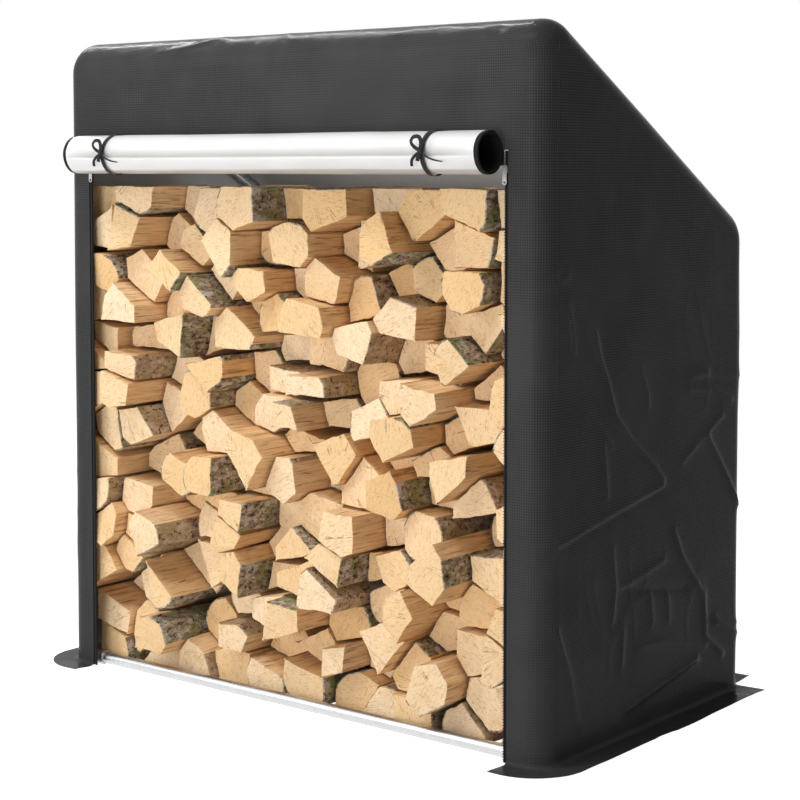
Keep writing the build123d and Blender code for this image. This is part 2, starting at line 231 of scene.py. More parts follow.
class Nodes:
    """Short ways to add and link the nodes of a material or a world"""

    def __init__(self, owner):
        owner.use_nodes = True
        self.owner = owner
        self.tree = owner.node_tree

    def feed(self, socket, value):
        """Links a socket to another one, or sets its number, vector or colour"""
        if isinstance(value, bpy.types.NodeSocket):
            self.tree.links.new(value, socket)
        else:
            socket.default_value = (*value, 1.0) if socket.type == "RGBA" else value

    def add(self, kind, sockets=None, **settings):
        """A node with its settings, and with sockets fed by name or number"""
        node = self.tree.nodes.new("ShaderNode" + kind)
        for key, value in settings.items():
            setattr(node, key, value)
        for key, value in (sockets or {}).items():
            self.feed(node.inputs[key], value)
        return node

    def math(self, operation, *values):
        return self.add("Math", dict(enumerate(values)), operation=operation).outputs[0]

    def mapped(self, vector, scale, shift=(0.0, 0.0, 0.0)):
        return self.add("Mapping", {"Vector": vector, "Scale": scale, "Location": shift}).outputs[0]

    def noise(self, vector, scale, detail=3.0, roughness=0.55, distortion=0.0):
        """Noise at one scale, or at a scale for each axis"""
        if isinstance(scale, tuple):
            vector, scale = self.mapped(vector, scale), 1.0
        sockets = {"Vector": vector, "Scale": scale, "Detail": detail, "Roughness": roughness}
        return self.add("TexNoise", {**sockets, "Distortion": distortion}).outputs["Fac"]

    def ramp(self, value, *stops):
        node = self.add("ValToRGB", {"Fac": value})
        elements = node.color_ramp.elements
        while len(elements) < len(stops):
            elements.new(0.5)
        for element, (place, colour) in zip(elements, stops):
            element.position = place
            element.color = (*colour, 1.0)
        return node.outputs["Color"]

    def fade(self, value, low, high):
        sockets = {"Value": value, "From Min": low, "From Max": high}
        return self.add("MapRange", sockets, interpolation_type="SMOOTHSTEP").outputs["Result"]

    def mix(self, share, first, second, blend="MIX"):
        sockets = {"Factor": share, 6: first, 7: second}
        return self.add("Mix", sockets, data_type="RGBA", blend_type=blend).outputs[2]

    def stain(self, base, colour, share, value, low, high):
        """Lays a colour over a base, up to a share where a value has risen from low to high"""
        return self.mix(self.math("MULTIPLY", self.fade(value, low, high), share), base, colour)

    def bump(self, height, strength, distance, below=None):
        sockets = {"Height": height, "Strength": strength, "Distance": distance}
        if below is not None:
            sockets["Normal"] = below
        return self.add("Bump", sockets).outputs["Normal"]

    def position(self):
        return self.add("TexCoord").outputs["Object"]

    def attribute(self, name, output="Fac"):
        return self.add("Attribute", attribute_name=name).outputs[output]

    def finish(self, colour, roughness, normal, **fixed):
        """Feeds the surface; a fixed input's name has _ for each space"""
        inputs = self.tree.nodes["Principled BSDF"].inputs
        for key, value in {"Base_Color": colour, "Roughness": roughness, "Normal": normal, **fixed}.items():
            self.feed(inputs[key.replace("_", " ")], value)
        return self.owner


def material_nodes(name):
    return Nodes(bpy.data.materials.new(name))


WEAVE_PITCH = 0.006
WAVE_PERIOD = math.pi / 10  # of a band texture at scale 1
TAPE_EDGE = (0.0, 0.45)  # share of a wave that the line between two tapes takes
RING_PITCH = 0.0062


def woven(nodes):
    """Waves of the tapes that run up and across a woven sheet, from its own coordinates"""
    uv = nodes.add("UVMap", uv_map="cloth").outputs["UV"]
    sockets = {"Vector": uv, "Scale": WAVE_PERIOD / WEAVE_PITCH}
    settings = {"wave_type": "BANDS", "wave_profile": "SIN"}
    return [nodes.add("TexWave", sockets, bands_direction=way, **settings).outputs["Fac"] for way in ("X", "Y")]


def tapes(nodes):
    """1 on the tapes of a woven sheet, and 0 in the lines between them"""
    return nodes.math("MULTIPLY", *(nodes.fade(wave, *TAPE_EDGE) for wave in woven(nodes)))


def cover_material():
    nodes = material_nodes("woven_black_cover")
    weave = tapes(nodes)
    place = nodes.position()
    blotch = nodes.noise(place, 9.0, 4.0)
    broad = nodes.noise(place, 3.5, 3.0)
    crinkle = nodes.noise(place, 46.0, 5.0, 0.6, 0.6)
    dust = nodes.noise(place, 160.0, 2.0)
    tape = nodes.mix(nodes.fade(blotch, 0.35, 0.75), (0.054, 0.054, 0.0545), (0.064, 0.064, 0.0645))
    lines = nodes.mix(nodes.fade(broad, 0.38, 0.62), (0.032, 0.032, 0.0325), (0.046, 0.046, 0.0465))
    roughness = nodes.math("MULTIPLY_ADD", dust, 0.08, 0.09)
    normal = nodes.bump(crinkle, 0.10, 0.004, nodes.bump(weave, 0.25, 0.0006))
    return nodes.finish(nodes.mix(weave, lines, tape), roughness, normal, Specular_IOR_Level=0.015)


def lining_material():
    """Pale inside of the door, darkened with painted shade where the point attribute says so: along the roll's front
    fold and over its underside
    """
    nodes = material_nodes("pale_lining")
    weave = nodes.math("MAXIMUM", *woven(nodes))
    place = nodes.position()
    blotch = nodes.noise(place, 7.0, 4.0)
    unshaded_tone = nodes.mix(nodes.fade(blotch, 0.3, 0.8), (0.76, 0.76, 0.757), (0.72, 0.718, 0.71))
    # Painted shade: the point attribute darkens the lining along the roll's fold and underside
    colour = nodes.mix(nodes.attribute("painted_shade"), unshaded_tone, (0.36, 0.345, 0.32))
    normal = nodes.bump(nodes.noise(place, 24.0, 3.0), 0.08, 0.004, nodes.bump(weave, 0.06, 0.0004))
    return nodes.finish(colour, 0.36, normal, Specular_IOR_Level=0.5)


def inner_material():
    """Pale inner face of the cover"""
    nodes = material_nodes("pale_inner_face")
    weave = tapes(nodes)
    blotch = nodes.noise(nodes.position(), 8.0, 4.0)
    tape = nodes.mix(nodes.fade(blotch, 0.3, 0.8), (0.54, 0.54, 0.54), (0.62, 0.62, 0.615))
    colour = nodes.mix(weave, (0.53, 0.53, 0.53), tape)
    return nodes.finish(colour, 0.5, nodes.bump(weave, 0.15, 0.0005), Specular_IOR_Level=0.2)


def tape_material(name, shade, rib_pitch):
    """Woven tape: fine ribs across its length"""
    nodes = material_nodes(name)
    place = nodes.position()
    sockets = {"Vector": place, "Scale": WAVE_PERIOD / rib_pitch}
    ribs = nodes.add("TexWave", sockets, wave_type="BANDS", bands_direction="DIAGONAL").outputs["Fac"]
    fuzz = nodes.noise(place, 700.0, 3.0)
    colour = nodes.mix(fuzz, tuple(0.6 * s for s in shade), tuple(1.5 * s for s in shade))
    normal = nodes.bump(ribs, 0.25, 0.0004)
    return nodes.finish(colour, 0.72, normal, Sheen_Weight=0.05, Specular_IOR_Level=0.12)


def galvanised_material():
    nodes = material_nodes("galvanised_tube")
    place = nodes.position()
    spangle = nodes.add("TexVoronoi", {"Vector": place, "Scale": 130.0}, feature="F1").outputs["Color"]
    fleck = nodes.add("RGBToBW", {"Color": spangle}).outputs["Val"]
    streak = nodes.noise(place, (9.0, 78.0, 78.0), 3.0)
    tone = nodes.mix(streak, (0.52, 0.525, 0.535), (0.62, 0.625, 0.635))
    colour = nodes.mix(0.05, tone, fleck, "OVERLAY")
    roughness = nodes.math("MULTIPLY_ADD", streak, 0.16, 0.20)
    return nodes.finish(colour, roughness, nodes.bump(streak, 0.02, 0.002), Metallic=1.0)


def zinc_material():
    nodes = material_nodes("zinc_zip_metal")
    grain = nodes.noise(nodes.position(), 900.0, 3.0)
    colour = nodes.mix(grain, (0.30, 0.31, 0.30), (0.46, 0.47, 0.45))
    return nodes.finish(colour, 0.45, nodes.bump(grain, 0.08, 0.0004), Metallic=1.0)


def log_rings(nodes):
    """Year rings about the log's own heart, wavy along its length"""
    pith = nodes.attribute("pith", "Vector")
    waver = nodes.noise(pith, (30.0, 6.0, 30.0), 3.0)
    flat = nodes.add("VectorMath", {0: pith, 1: (1.0, 0.0, 1.0)}, operation="MULTIPLY").outputs[0]
    radius = nodes.add("VectorMath", {0: flat}, operation="LENGTH").outputs["Value"]
    wavy = nodes.math("MULTIPLY_ADD", waver, 0.012, radius)
    turns = nodes.math("MULTIPLY", wavy, 2 * math.pi / RING_PITCH)
    return pith, nodes.math("MULTIPLY_ADD", nodes.math("SINE", turns), 0.5, 0.5)


def heart_cracks(nodes, pith, tint, place):
    """1 in thin cracks that run out of the log's heart, here and there"""
    turned = nodes.add("Mapping", {"Vector": pith, "Rotation": (math.pi / 2, 0.0, 0.0)}).outputs[0]
    around = nodes.add("TexGradient", {"Vector": turned}, gradient_type="RADIAL").outputs["Fac"]
    wander = nodes.noise(place, 60.0, 2.0)
    parts = [nodes.math("MULTIPLY", value, gain) for value, gain in ((around, 46.0), (tint, 30.0), (wander, 0.5))]
    spoke = nodes.noise(nodes.add("CombineXYZ", dict(enumerate(parts))).outputs[0], 1.0, 1.0)
    thin = nodes.math("LESS_THAN", nodes.math("ABSOLUTE", nodes.math("SUBTRACT", spoke, 0.5)), 0.010)
    return nodes.math("MULTIPLY", thin, nodes.fade(nodes.noise(place, 24.0, 1.0), 0.52, 0.6))


def end_material():
    """Sawn end of a log: pale, with rings, a few cracks out of the heart, and fine saw marks"""
    nodes = material_nodes("sawn_log_end")
    pith, rings = log_rings(nodes)
    tint = nodes.attribute("tint")
    place = nodes.position()
    blotch = nodes.noise(place, (26.0, 10.4, 26.0), 4.0)
    fibre = nodes.noise(place, 300.0, 4.0, 0.7)
    worn = nodes.noise(place, (75.0, 37.5, 75.0), 4.0, 0.65)
    base = nodes.ramp(tint, (0.0, (0.80, 0.52, 0.25)), (0.35, (0.87, 0.61, 0.34)), (0.7, (0.90, 0.67, 0.42)),
                      (1.0, (0.93, 0.74, 0.52)))
    strength = nodes.math("MULTIPLY", rings, nodes.fade(worn, 0.3, 0.7))
    ringed = nodes.mix(nodes.math("MULTIPLY", strength, 0.30), base, (0.62, 0.37, 0.145))
    mottled = nodes.stain(ringed, (0.78, 0.50, 0.21), 0.45, blotch, 0.45, 0.8)
    speckled = nodes.stain(mottled, (0.50, 0.29, 0.115), 0.42, fibre, 0.5, 0.72)
    turn = nodes.math("MULTIPLY", tint, 40.0)
    hatched = nodes.add("VectorRotate", {"Vector": place, "Angle": turn}, rotation_type="Y_AXIS").outputs[0]
    strokes = nodes.noise(hatched, (420.0, 60.0, 70.0), 3.0, 0.6)
    stroked = nodes.stain(speckled, (0.44, 0.235, 0.085), 0.6, strokes, 0.54, 0.68)
    crack = heart_cracks(nodes, pith, tint, place)
    colour = nodes.mix(nodes.math("MULTIPLY", crack, 0.6), stroked, (0.20, 0.10, 0.04))
    normal = nodes.bump(rings, 0.15, 0.0008, nodes.bump(fibre, 0.4, 0.0016))
    return nodes.finish(colour, 0.78, normal, Specular_IOR_Level=0.25)


def split_material():
    """Split side of a log: long torn fibres, more orange than the end"""
    nodes = material_nodes("split_log_side")
    rings = log_rings(nodes)[1]
    place = nodes.position()
    fibre = nodes.noise(place, (125.0, 7.0, 125.0), 5.0, 0.65, 0.5)
    thread = nodes.noise(place, (380.0, 14.0, 380.0), 3.0, 0.6, 0.3)
    streak = nodes.noise(place, (38.0, 3.0, 38.0), 3.0)
    blotch = nodes.noise(place, 16.0, 3.0)
    base = nodes.ramp(nodes.attribute("tint"), (0.0, (0.84, 0.53, 0.25)), (0.5, (0.90, 0.62, 0.335)),
                      (1.0, (0.93, 0.70, 0.43)))
    shaded = nodes.stain(base, (0.72, 0.40, 0.155), 0.45, streak, 0.42, 0.72)
    ringed = nodes.mix(nodes.math("MULTIPLY", rings, 0.12), shaded, (0.55, 0.28, 0.10))
    threaded = nodes.stain(ringed, (0.48, 0.235, 0.085), 0.5, thread, 0.48, 0.68)
    fibred = nodes.stain(threaded, (0.28, 0.125, 0.042), 0.72, fibre, 0.52, 0.66)
    colour = nodes.stain(fibred, (0.93, 0.74, 0.48), 0.4, blotch, 0.5, 0.85)
    normal = nodes.bump(streak, 0.3, 0.004, nodes.bump(fibre, 0.8, 0.004))
    return nodes.finish(colour, 0.8, normal, Specular_IOR_Level=0.25)


def bark_material():
    """Thin grey-brown bark with dark cracks along the log, black specks, moss and lichen"""
    nodes = material_nodes("mossy_bark")
    place = nodes.position()
    ridges = nodes.noise(place, (95.0, 42.0, 95.0), 5.0, 0.65, 0.5)
    specks = nodes.noise(place, (115.0, 69.0, 115.0), 4.0, 0.7)
    patch = nodes.noise(place, 17.0, 4.0)
    lichen = nodes.noise(nodes.mapped(place, (1.0, 0.6, 1.0), (3.1, 1.7, 0.4)), 44.0, 4.0, 0.65)
    base = nodes.ramp(ridges, (0.34, (0.06, 0.043, 0.03)), (0.5, (0.34, 0.265, 0.19)), (0.66, (0.62, 0.53, 0.41)))
    grey = nodes.stain(base, (0.66, 0.62, 0.55), 0.75, lichen, 0.5, 0.6)
    mossy = nodes.stain(grey, (0.24, 0.26, 0.085), 0.62, patch, 0.5, 0.6)
    worn = nodes.stain(mossy, (0.55, 0.36, 0.20), 0.55, nodes.attribute("tint"), 0.55, 0.85)
    colour = nodes.stain(worn, (0.03, 0.023, 0.018), 0.9, specks, 0.55, 0.63)
    normal = nodes.bump(specks, 0.6, 0.002, nodes.bump(ridges, 0.7, 0.003))
    return nodes.finish(colour, 0.9, normal, Specular_IOR_Level=0.15)


cover = cover_material()
lining = lining_material()
inner = inner_material()
ribbon_black = tape_material("ribbon_tape", (0.024, 0.024, 0.0245), 0.0016)
zip_black = tape_material("zip_tape_cloth", (0.016, 0.016, 0.0165), 0.0014)
# Black zip tape at the roll's ends, also used for the door's black face inside the roll and its cut edges; darker than
# the other black cloth, as painted shade for the inside of the roll
roll_tape_and_shade_black = tape_material("roll_edge_cloth_and_shade", (0.008, 0.008, 0.008), 0.0014)
galvanised = galvanised_material()
zinc = zinc_material()
log_end = end_material()
log_split = split_material()
log_bark = bark_material()


# Cover


# Steps of the main sheet's grid, from the header's hem to the foot of the back, and across
HEADER_STEPS, RIDGE_STEPS, ROOF_STEPS, EAVE_STEPS, BACK_STEPS = 17, 30, 71, 15, 93
MAIN_COLUMNS = 165
SEAM_FADE = 0.07  # width in which its folds die out towards a seam
END_FADES = (0.05, 0.06)  # the same at the header's hem and at the foot of the back
RIDGE_CRINKLE = 0.0016
CRINKLE_AT, CRINKLE_WIDTH = -0.022, 0.035  # from the middle of the ridge
ROOF_SAG = 0.007
ROOF_REACH, ROOF_FADE = 0.95, 0.2
HEADER_PULL = 0.0010
HEADER_FADE = 0.08
LOOSE_FROM, LOOSE_FULL = 0.02, 0.25  # behind the ridge, where the folds of the slack sheet begin

# Heights of a slack sheet's waves and folds
BROAD_WAVE = 0.0022
LARGE_FOLD = 0.0045
SMALL_FOLD = 0.0020
FOLD_WARP = 0.05

# Folds that run off the ridge: height, then both ends as X and distance behind the ridge, in metres
RIDGE_FOLDS = (
    (0.0055, (-0.470, -0.056), (-0.230, 0.004)),
    (-0.0030, (-0.430, -0.060), (-0.270, -0.020)),
    (0.0030, (0.020, -0.020), (-0.020, 0.010)),
)
RIDGE_FOLD_WIDTH = 0.013


def roofline(inset, ridge_steps, roof_steps, eave_steps):
    """The cover's outline from the side over ridge, roof and eave, moved inwards: points and outward ways"""
    ridge, ridge_ways = arc(ridge_centre, RIDGE_RADIUS - inset, np.linspace(math.pi, up_angle, ridge_steps + 1))
    eave, eave_ways = arc(eave_centre, EAVE_RADIUS - inset, np.linspace(up_angle, 0.0, eave_steps + 1))
    roof = np.linspace(ridge[-1], eave[0], roof_steps + 1)[1:-1]
    ways = np.concatenate([ridge_ways, np.tile(ridge_ways[-1], (len(roof), 1)), eave_ways])
    return np.concatenate([ridge, roof, eave]), ways


def folds(u, v, seed):
    """Soft waves and sparse sharp folds of a slack sheet, in metres"""
    broad = flat_noise(u, v, 3.1, 2.2, seed)
    warp = FOLD_WARP * flat_noise(u, v, 5.0, 5.0, seed + 1)
    ridged = 1 - np.abs(flat_noise(u + warp, v - warp, 5.5, 3.6, seed + 2))
    sparse = smoothstep(0.05, 0.7, flat_noise(u, v, 2.4, 2.4, seed + 3))
    fine = 1 - np.abs(flat_noise(u - warp, v + warp, 13.0, 9.0, seed + 4))
    sparse_fine = smoothstep(0.15, 0.8, flat_noise(u, v, 4.0, 4.0, seed + 5))
    return BROAD_WAVE * broad + LARGE_FOLD * sparse * ridged**6 + SMALL_FOLD * sparse_fine * fine**5


def main_panel():
    """Header, roof and back in one sheet"""
    over, over_ways = roofline(0.0, RIDGE_STEPS, ROOF_STEPS, EAVE_STEPS)
    header = np.linspace((front_y, door_top), over[0], HEADER_STEPS + 1)[:-1]
    back = np.linspace(over[-1], (rear_y, foot_z), BACK_STEPS + 1)[1:]
    outline = np.concatenate([header, over, back])
    ways = np.concatenate([np.tile((-1.0, 0.0), (len(header), 1)), over_ways, np.tile((1.0, 0.0), (len(back), 1))])
    length = lengths_along(outline)
    x, s = np.meshgrid(np.linspace(-seam_x, seam_x, MAIN_COLUMNS), length)
    past_ridge = s - (ridge_centre[1] - door_top + RIDGE_RADIUS * ridge_turn / 2)
    fade = smoothstep(0.0, SEAM_FADE, seam_x - np.abs(x))
    fade *= smoothstep(0.0, END_FADES[0], s) * smoothstep(0.0, END_FADES[1], length[-1] - s)
    near_ridge = np.exp(-(((past_ridge - CRINKLE_AT) / CRINKLE_WIDTH) ** 2))
    crinkle = 1.4 * flat_noise(x + 0.6 * s, s, 14.0, 26.0, 21) + 0.7 * flat_noise(x, s, 62.0, 30.0, 22)
    on_roof = smoothstep(0.0, ROOF_FADE, past_ridge) * smoothstep(0.0, ROOF_FADE, ROOF_REACH - past_ridge)
    height = RIDGE_CRINKLE * near_ridge * crinkle - ROOF_SAG * on_roof * (1 - (x / seam_x) ** 2)
    height += HEADER_PULL * flat_noise(x, s, 4.0, 26.0, 23) * smoothstep(0.0, HEADER_FADE, -past_ridge)
    height += folds(x, s, 31) * smoothstep(LOOSE_FROM, LOOSE_FULL, past_ridge)
    for size, first, last in RIDGE_FOLDS:
        away = distance_from(joined(x, past_ridge), np.array(first), np.array(last))
        height += size * np.exp(-away / RIDGE_FOLD_WIDTH)
    flat = joined(x, outline[:, 0:1], outline[:, 1:2])
    outward = joined(0.0 * x, ways[:, 0:1], ways[:, 1:2])
    piece = grid_object("cover_top_and_back", flat + outward * (fade * height)[..., None], [cover, inner], joined(x, s))
    settle_cover(piece, "front_header", "roof_panel", "back_panel")


# Creases of the right side as they run in the photograph, in its pixels, each with its height in metres
CREASES = (
    (0.0030, ((569, 308), (572, 325), (574, 350))),
    (0.0050, ((585, 325), (594, 331), (599, 358), (606, 379), (615, 415), (630, 438), (653, 463), (662, 477))),
    (0.0026, ((582, 408), (594, 419), (611, 442))),
    (0.0026, ((640, 369), (646, 389), (647, 404))),
    (0.0030, ((689, 375), (705, 369))),
    (0.0038, ((687, 386), (712, 387), (729, 396))),
    (0.0050, ((706, 434), (724, 471), (738, 502))),
    (0.0034, ((603, 442), (606, 476), (607, 493))),
    (0.0030, ((553, 286), (568, 273))),
    (0.0030, ((554, 307), (566, 303))),
    (0.0030, ((688, 370), (738, 372))),
    (0.0034, ((720, 412), (682, 458))),
    (0.0050, ((551, 551), (617, 510), (662, 484))),
    (-0.0040, ((551, 555), (617, 514), (662, 488))),
    (0.0034, ((613, 549), (616, 587), (613, 619))),
    (0.0040, ((622, 587), (664, 558))),
    (-0.0045, ((622, 588), (685, 588))),
    (0.0030, ((651, 593), (653, 621))),
    (0.0030, ((668, 593), (669, 618))),
    (0.0046, ((674, 530), (682, 556), (703, 593), (705, 635), (722, 652))),
    (0.0036, ((714, 618), (738, 632))),
    (0.0046, ((626, 711), (697, 658))),
    (0.0036, ((640, 646), (674, 639), (705, 644))),
    (0.0030, ((624, 629), (622, 667))),
    (0.0042, ((557, 627), (571, 679), (578, 728))),
    (0.0030, ((716, 621), (737, 621))),
)
CREASE_WIDTH = 0.0095
CREASE_GAIN = 1.3
CREASED_FOLDS = 0.75  # share of the made-up folds on the side that has the photograph's creases

SIDE_RIDGE_STEPS, SIDE_EAVE_STEPS, BELT_STEPS = 14, 8, 12
SIDE_GRIDS = {1: (121, 235), -1: (89, 170)}  # roof steps and rows; the side with the creases is finer
FOOT_FADE = 0.05


def side_point(pixel):
    """Where a pixel of the photograph meets the right side, as Y and Z"""
    across = (pixel[0] - PHOTO_SIZE / 2) / PHOTO_FOCAL
    rise = (PHOTO_HORIZON_ROW - pixel[1]) / PHOTO_FOCAL
    way_x = across * math.cos(PHOTO_YAW) - math.sin(PHOTO_YAW)
    way_y = across * math.sin(PHOTO_YAW) + math.cos(PHOTO_YAW)
    reach = (half_width - PHOTO_PLACE[0]) / way_x
    return np.array([PHOTO_PLACE[1] + reach * way_y, PHOTO_PLACE[2] + reach * rise])


def creases(spots):
    """Sharp-topped folds along the creases of the photograph"""
    total = np.zeros(len(spots))
    for height, pixels in CREASES:
        route = [side_point(pixel) for pixel in pixels]
        away = np.min([distance_from(spots, start, end) for start, end in zip(route, route[1:])], axis=0)
        total += CREASE_GAIN * height * np.exp(-away / CREASE_WIDTH)
    return total


def side_panel(side, name, seed):
    """One side: a flat field inside the inset outline, and a rounded belt round it out to the seam"""
    roof_steps, row_count = SIDE_GRIDS[side]
    top, top_ways = roofline(EDGE_RADIUS, SIDE_RIDGE_STEPS, roof_steps, SIDE_EAVE_STEPS)
    rows = np.linspace(0, 1, row_count)[:, None]
    field = joined(top[:, 0], foot_z + rows * (top[:, 1] - foot_z)).reshape(-1, 2)
    index = np.arange(len(field)).reshape(row_count, len(top))
    border = np.concatenate([index[:, 0], index[-1, 1:-1], index[::-1, -1]])
    upright = np.tile((1.0, 0.0), (row_count, 1))
    ways = np.concatenate([-upright, top_ways[1:-1], upright])
    edge = field[border]
    unrolled, placed = [field], [joined(half_width, field[:, 0], field[:, 1])]
    facing, weights = [np.tile((1.0, 0.0, 0.0), (len(field), 1))], [np.ones(len(field))]
    faces, near = [grid_quads(row_count, len(top))], border
    for turn in np.linspace(0, math.pi / 2, BELT_STEPS + 1)[1:]:
        far = sum(map(len, placed)) + np.arange(len(border))
        faces.append(np.stack([near[:-1], near[1:], far[1:], far[:-1]], axis=1))
        near = far
        spread = edge + ways * EDGE_RADIUS * math.sin(turn)
        unrolled.append(edge + ways * EDGE_RADIUS * turn)
        placed.append(joined(seam_x + EDGE_RADIUS * math.cos(turn), spread[:, 0], spread[:, 1]))
        facing.append(joined(math.cos(turn), ways[:, 0] * math.sin(turn), ways[:, 1] * math.sin(turn)))
        weights.append(np.full(len(border), math.cos(turn) ** 2))
    unrolled = np.concatenate(unrolled)
    height = folds(unrolled[:, 0], unrolled[:, 1], seed)
    if side > 0:
        height = CREASED_FOLDS * height + creases(unrolled)
    height *= np.concatenate(weights) * smoothstep(0.0, FOOT_FADE, unrolled[:, 1] - foot_z)
    points = np.concatenate(placed) + np.concatenate(facing) * height[:, None]
    points[:, 0] *= side
    faces = np.concatenate(faces)[:, ::side]
    piece = mesh_object(f"cover_{name}_side", points, faces, [cover, inner], unrolled)
    settle_cover(piece, f"{name}_side_panel")


STRIP_COLUMNS, STRIP_ROWS = 9, 150
STRIP_WAVE = 0.0008
STRIP_FADE = 0.02
STRIP_HEM = 0.0009  # how far the hem along the zip stands out
STRIP_HEM_EDGE = (0.010, 0.006)  # where it ends, from the zip


def front_strip(side, name):
    """Strip of the cover between a front corner and the zip beside the doorway, hemmed along the zip"""
    x, z = np.meshgrid(np.linspace(strip_x, seam_x, STRIP_COLUMNS), np.linspace(foot_z, door_top, STRIP_ROWS))
    wave = STRIP_WAVE * smoothstep(0.0, STRIP_FADE, seam_x - x) * flat_noise(x, z, 20.0, 5.0, 51 + side)
    hem = STRIP_HEM * smoothstep(*STRIP_HEM_EDGE, x - strip_x)
    points = joined(side * x, front_y - wave - hem, z)
    piece = grid_object(f"cover_{name}_front_strip", points, [cover, inner], joined(x, z), flip=side < 0)
    settle_cover(piece, f"{name}_front_strip")


FLAP_TOP = 0.036  # how far a flap is welded up the wall
FOLD_RADIUS = 0.011  # of its fold along the ground
FLAP_LIFT = 0.0045
FLAP_SWAY = 0.004
FLAP_CREASE = 0.0012
FLAP_OFF_WALL = 0.0009
FLAP_OFF_GROUND = 0.0002
FRONT_POINTS, CORNER_POINTS, SIDE_POINTS, END_POINTS, BACK_POINTS = 6, 12, 90, 6, 130  # along the flaps


def flap_profile():
    """A flap across its width: down the wall, round the fold, and out over the ground, as distance out and height"""
    wall = [(0.0, FLAP_TOP), (0.0, (FLAP_TOP + FOLD_RADIUS) / 2)]
    fold = arc((FOLD_RADIUS, FOLD_RADIUS), FOLD_RADIUS, np.linspace(math.pi, 3 * math.pi / 2, 6))[0]
    return np.concatenate([wall, fold, np.linspace((FOLD_RADIUS, 0.0), (flap_width, 0.0), 9)[1:]])


def flap(name, route, ways, seed, nodes, rests):
    """A flap along a route round the foot of the cover"""
    route, ways = np.array(route), np.array(ways)
    profile = flap_profile()
    steps, width = lengths_along(route), lengths_along(profile)
    s, w = np.meshgrid(steps, width, indexing="ij")
    out, high = profile[:, 0] + 0 * s, profile[:, 1]
    lying = smoothstep(FOLD_RADIUS, flap_width, out)
    lift = FLAP_LIFT * lying * np.clip(flat_noise(s, w, 7.0, 3.0, seed) + 0.3, 0, 1)
    sway = FLAP_SWAY * lying * flat_noise(s, w, 5.0, 1.0, seed + 1)
    crease = FLAP_CREASE * flat_noise(s, w, 22.0, 20.0, seed + 2) * smoothstep(0.0, 0.012, out)
    out = (out + FLAP_OFF_WALL + sway + crease)[..., None]
    flat = route[:, None, :] + ways[:, None, :] * out
    points = joined(flat[..., 0], flat[..., 1], high + SHEET + FLAP_OFF_GROUND + lift + np.abs(crease))
    piece = grid_object(name, points, [cover, inner], joined(s, w))
    settle_cover(piece, *nodes)
    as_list(rests)


def ground_flaps():
    """A flap along each side, round the front corner to the doorway, and one along the back"""
    for side, name in SIDES:
        stops = [((side * x, front_y), (0.0, -1.0)) for x in np.linspace(strip_x, seam_x, FRONT_POINTS)]
        for turn in np.linspace(0, math.pi / 2, CORNER_POINTS)[1:-1]:
            way = (side * math.sin(turn), -math.cos(turn))
            stops.append(((side * seam_x + EDGE_RADIUS * way[0], front_y + EDGE_RADIUS * (1 + way[1])), way))
        for y in np.linspace(front_y + EDGE_RADIUS, rear_y - EDGE_RADIUS, SIDE_POINTS):
            stops.append(((side * half_width, y), (side, 0.0)))
        for along in np.linspace(0, EDGE_RADIUS - flap_end_inset, END_POINTS)[1:]:
            reach = math.sqrt(EDGE_RADIUS**2 - along**2)
            way = (side * (EDGE_RADIUS + flap_width - reach) / flap_width, 0.0)
            stops.append(((side * (seam_x + reach), rear_y - EDGE_RADIUS + along), way))
        route, ways = zip(*stops[::side])
        flap(f"cover_{name}_flap", route, ways, 61 + side, [f"{name}_ground_flap"], [f"{name}_ground_rail"])
    stops = []
    for x in np.linspace(half_width - flap_end_inset, flap_end_inset - half_width, BACK_POINTS):
        reach = math.sqrt(EDGE_RADIUS**2 - max(0.0, abs(x) - seam_x) ** 2)
        way = (0.0, (EDGE_RADIUS + flap_width - reach) / flap_width)
        stops.append(((x, rear_y - EDGE_RADIUS + reach), way))
    flap("cover_back_flap", *zip(*stops), 65, ["back_ground_flap"], ["rear_ground_rail"])


# Door, ties and zips


ROLL_TURNS = 3
ROLL_PITCH = 0.0020
ROLL_START = math.radians(62)  # the sheet comes off the roll at its upper back
ROLL_DEGREES = ((0, 76, 6), (76, 136, 1.5), (136, 360, 7))  # from, to and step in each turn, finer at the fold
ROLL_COLUMNS = 84
ROLL_OFF = 0.0012  # how far the outermost turn lies inside the solid
ROLL_SLACK = ((0.0011, (4.0, 1.3, 1.3), 71), (0.0005, (16.0, 3.0, 3.0), 72))  # height, waves and seed
ROLL_PINCH = 0.0012  # how far a tie draws it in
ROLL_PINCH_WIDTH = 0.03
ROLL_PINCH_TURNS = (1.4, 0.6)  # the turns over which that dies out
ROLL_FOLD = 0.0056  # depth of the fold along the front of the roll
ROLL_FOLD_AT = math.radians(188)  # where it lies, from the back over the top
ROLL_FOLD_RISE = math.radians(38)  # how far the sheet falls towards it from above
ROLL_FOLD_LIP = 0.07  # how fast it rises again below, in radians
ROLL_FOLD_WAVER = 0.03
ROLL_FOLD_END = 0.12  # length in which it runs out towards an end
ROLL_UNDER_AT = math.radians(232)  # where the painted shade of the underside begins
ROLL_UNDER_EDGE = (-0.04, 0.05)  # how soft its edge is, in radians
ROLL_UNDER_SLANT = 0.10  # in radians a metre
ROLL_BAND = 0.011  # black zip tape along each end of the roll
BAND_EDGE = 0.0004
# Strengths of the painted shade along the fold and over the underside of the roll
FOLD_PAINTED_SHADE, UNDER_PAINTED_SHADE = 0.62, 0.66

# The stretch of the door between header and roll: distance behind the cover's front and height over the doorway
HEM_PATH = ((-0.0008, 0.022), (-0.0008, 0.004), (-0.0006, -0.010), (0.0, -0.022), (0.001, -0.034))
HEM_WAVE = 0.0006
HEM_COLUMNS = 90
HEM_ROW = 0.01  # of its cloth's coordinates


